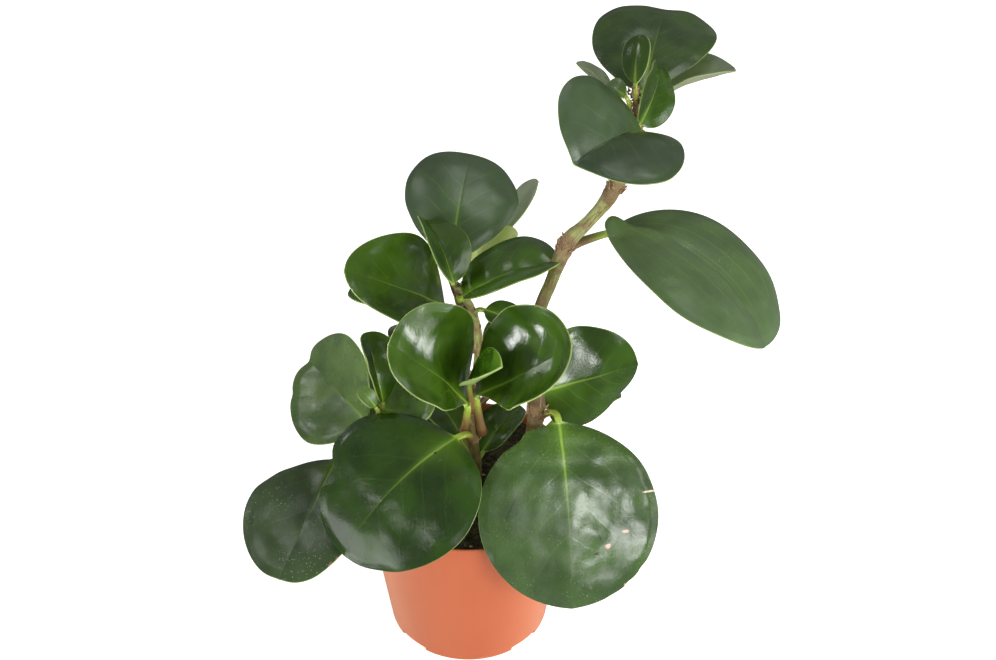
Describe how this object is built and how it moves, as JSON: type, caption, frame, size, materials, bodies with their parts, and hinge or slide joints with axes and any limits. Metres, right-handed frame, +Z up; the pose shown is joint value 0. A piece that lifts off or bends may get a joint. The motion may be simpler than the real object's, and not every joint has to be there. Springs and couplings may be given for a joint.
{
  "type": "potted plant",
  "caption": "Peperomia with glossy, rounded dark green leaves on thick stems, one stem leaning out to the right, in a round terracotta-coloured plastic nursery pot.",
  "frame": {"origin": "centre of the pot's foot, on the surface it stands on", "axes": "+Z up, -Y towards the viewer's side of the picture, +X to the right, where the tall stem leans"},
  "size_m": [0.2885, 0.207, 0.3734],
  "materials": {
    "pot_plastic": "satin",
    "soil": "matte",
    "stem": "satin",
    "leaf": "gloss",
    "young_leaf": "gloss"
  },
  "bodies": {
    "root": {"pot": "pot_plastic", "soil": "soil", "right_stem": "stem", "rear_stem": "stem", "centre_stem": "stem", "left_stem": "stem", "right_head_rear_leaf": "leaf", "right_head_front_leaf": "leaf", "right_head_young_leaf": "young_leaf", "right_head_cupped_leaf": "leaf", "right_head_bud_leaf": "young_leaf", "right_head_right_leaf": "leaf", "right_head_left_leaf": "leaf", "drooping_right_leaf": "leaf", "rear_head_top_leaf": "leaf", "rear_head_left_leaf": "leaf", "rear_head_young_leaf": "young_leaf", "rear_head_right_leaf": "leaf", "rear_head_back_leaf": "leaf", "rear_head_inner_leaf": "leaf", "centre_left_leaf": "leaf", "centre_right_leaf": "leaf", "centre_young_leaf": "young_leaf", "front_left_leaf": "leaf", "front_right_leaf": "leaf", "right_middle_leaf": "leaf", "left_head_outer_leaf": "leaf", "left_head_folded_leaf": "leaf", "left_head_right_leaf": "leaf", "left_head_young_leaf": "young_leaf", "low_left_leaf": "leaf", "rear_low_left_leaf": "leaf", "rear_low_right_leaf": "leaf", "centre_low_right_leaf": "leaf", "centre_low_left_leaf": "leaf", "back_left_leaf": "leaf", "back_right_leaf": "leaf", "back_low_right_leaf": "leaf", "back_low_left_leaf": "leaf"}
  },
  "joints": []
}
